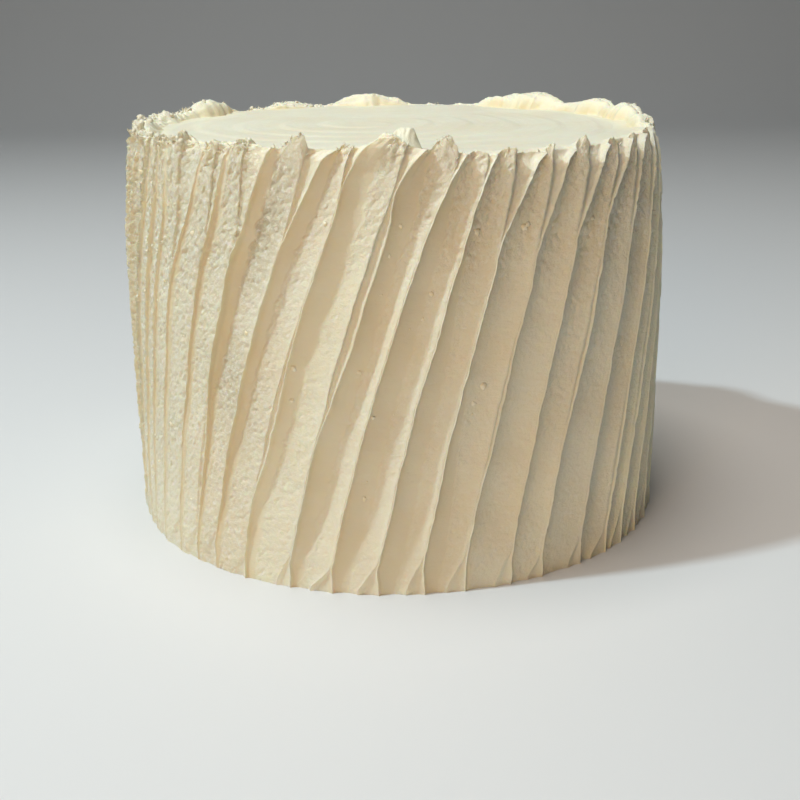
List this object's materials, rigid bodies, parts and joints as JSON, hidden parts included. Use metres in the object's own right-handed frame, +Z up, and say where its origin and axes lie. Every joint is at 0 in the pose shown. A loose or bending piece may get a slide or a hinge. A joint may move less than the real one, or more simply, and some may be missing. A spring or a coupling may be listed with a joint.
{
  "type": "almond cake",
  "caption": "Tall round cake iced in ivory buttercream, with slanted knife-stroke ridges round the side and an uneven rim round a swirled top.",
  "frame": {"origin": "centre of the cake's flat base, on the surface it stands on", "axes": "+Z up along the cake's own axis; the side seen in the picture faces -Y, and +X is to its right"},
  "size_m": [0.215, 0.215, 0.1594],
  "materials": {
    "buttercream": "satin ivory buttercream, slightly translucent, with knife marks and small pits"
  },
  "bodies": {
    "root": {"almond_cake": "buttercream"}
  },
  "joints": []
}
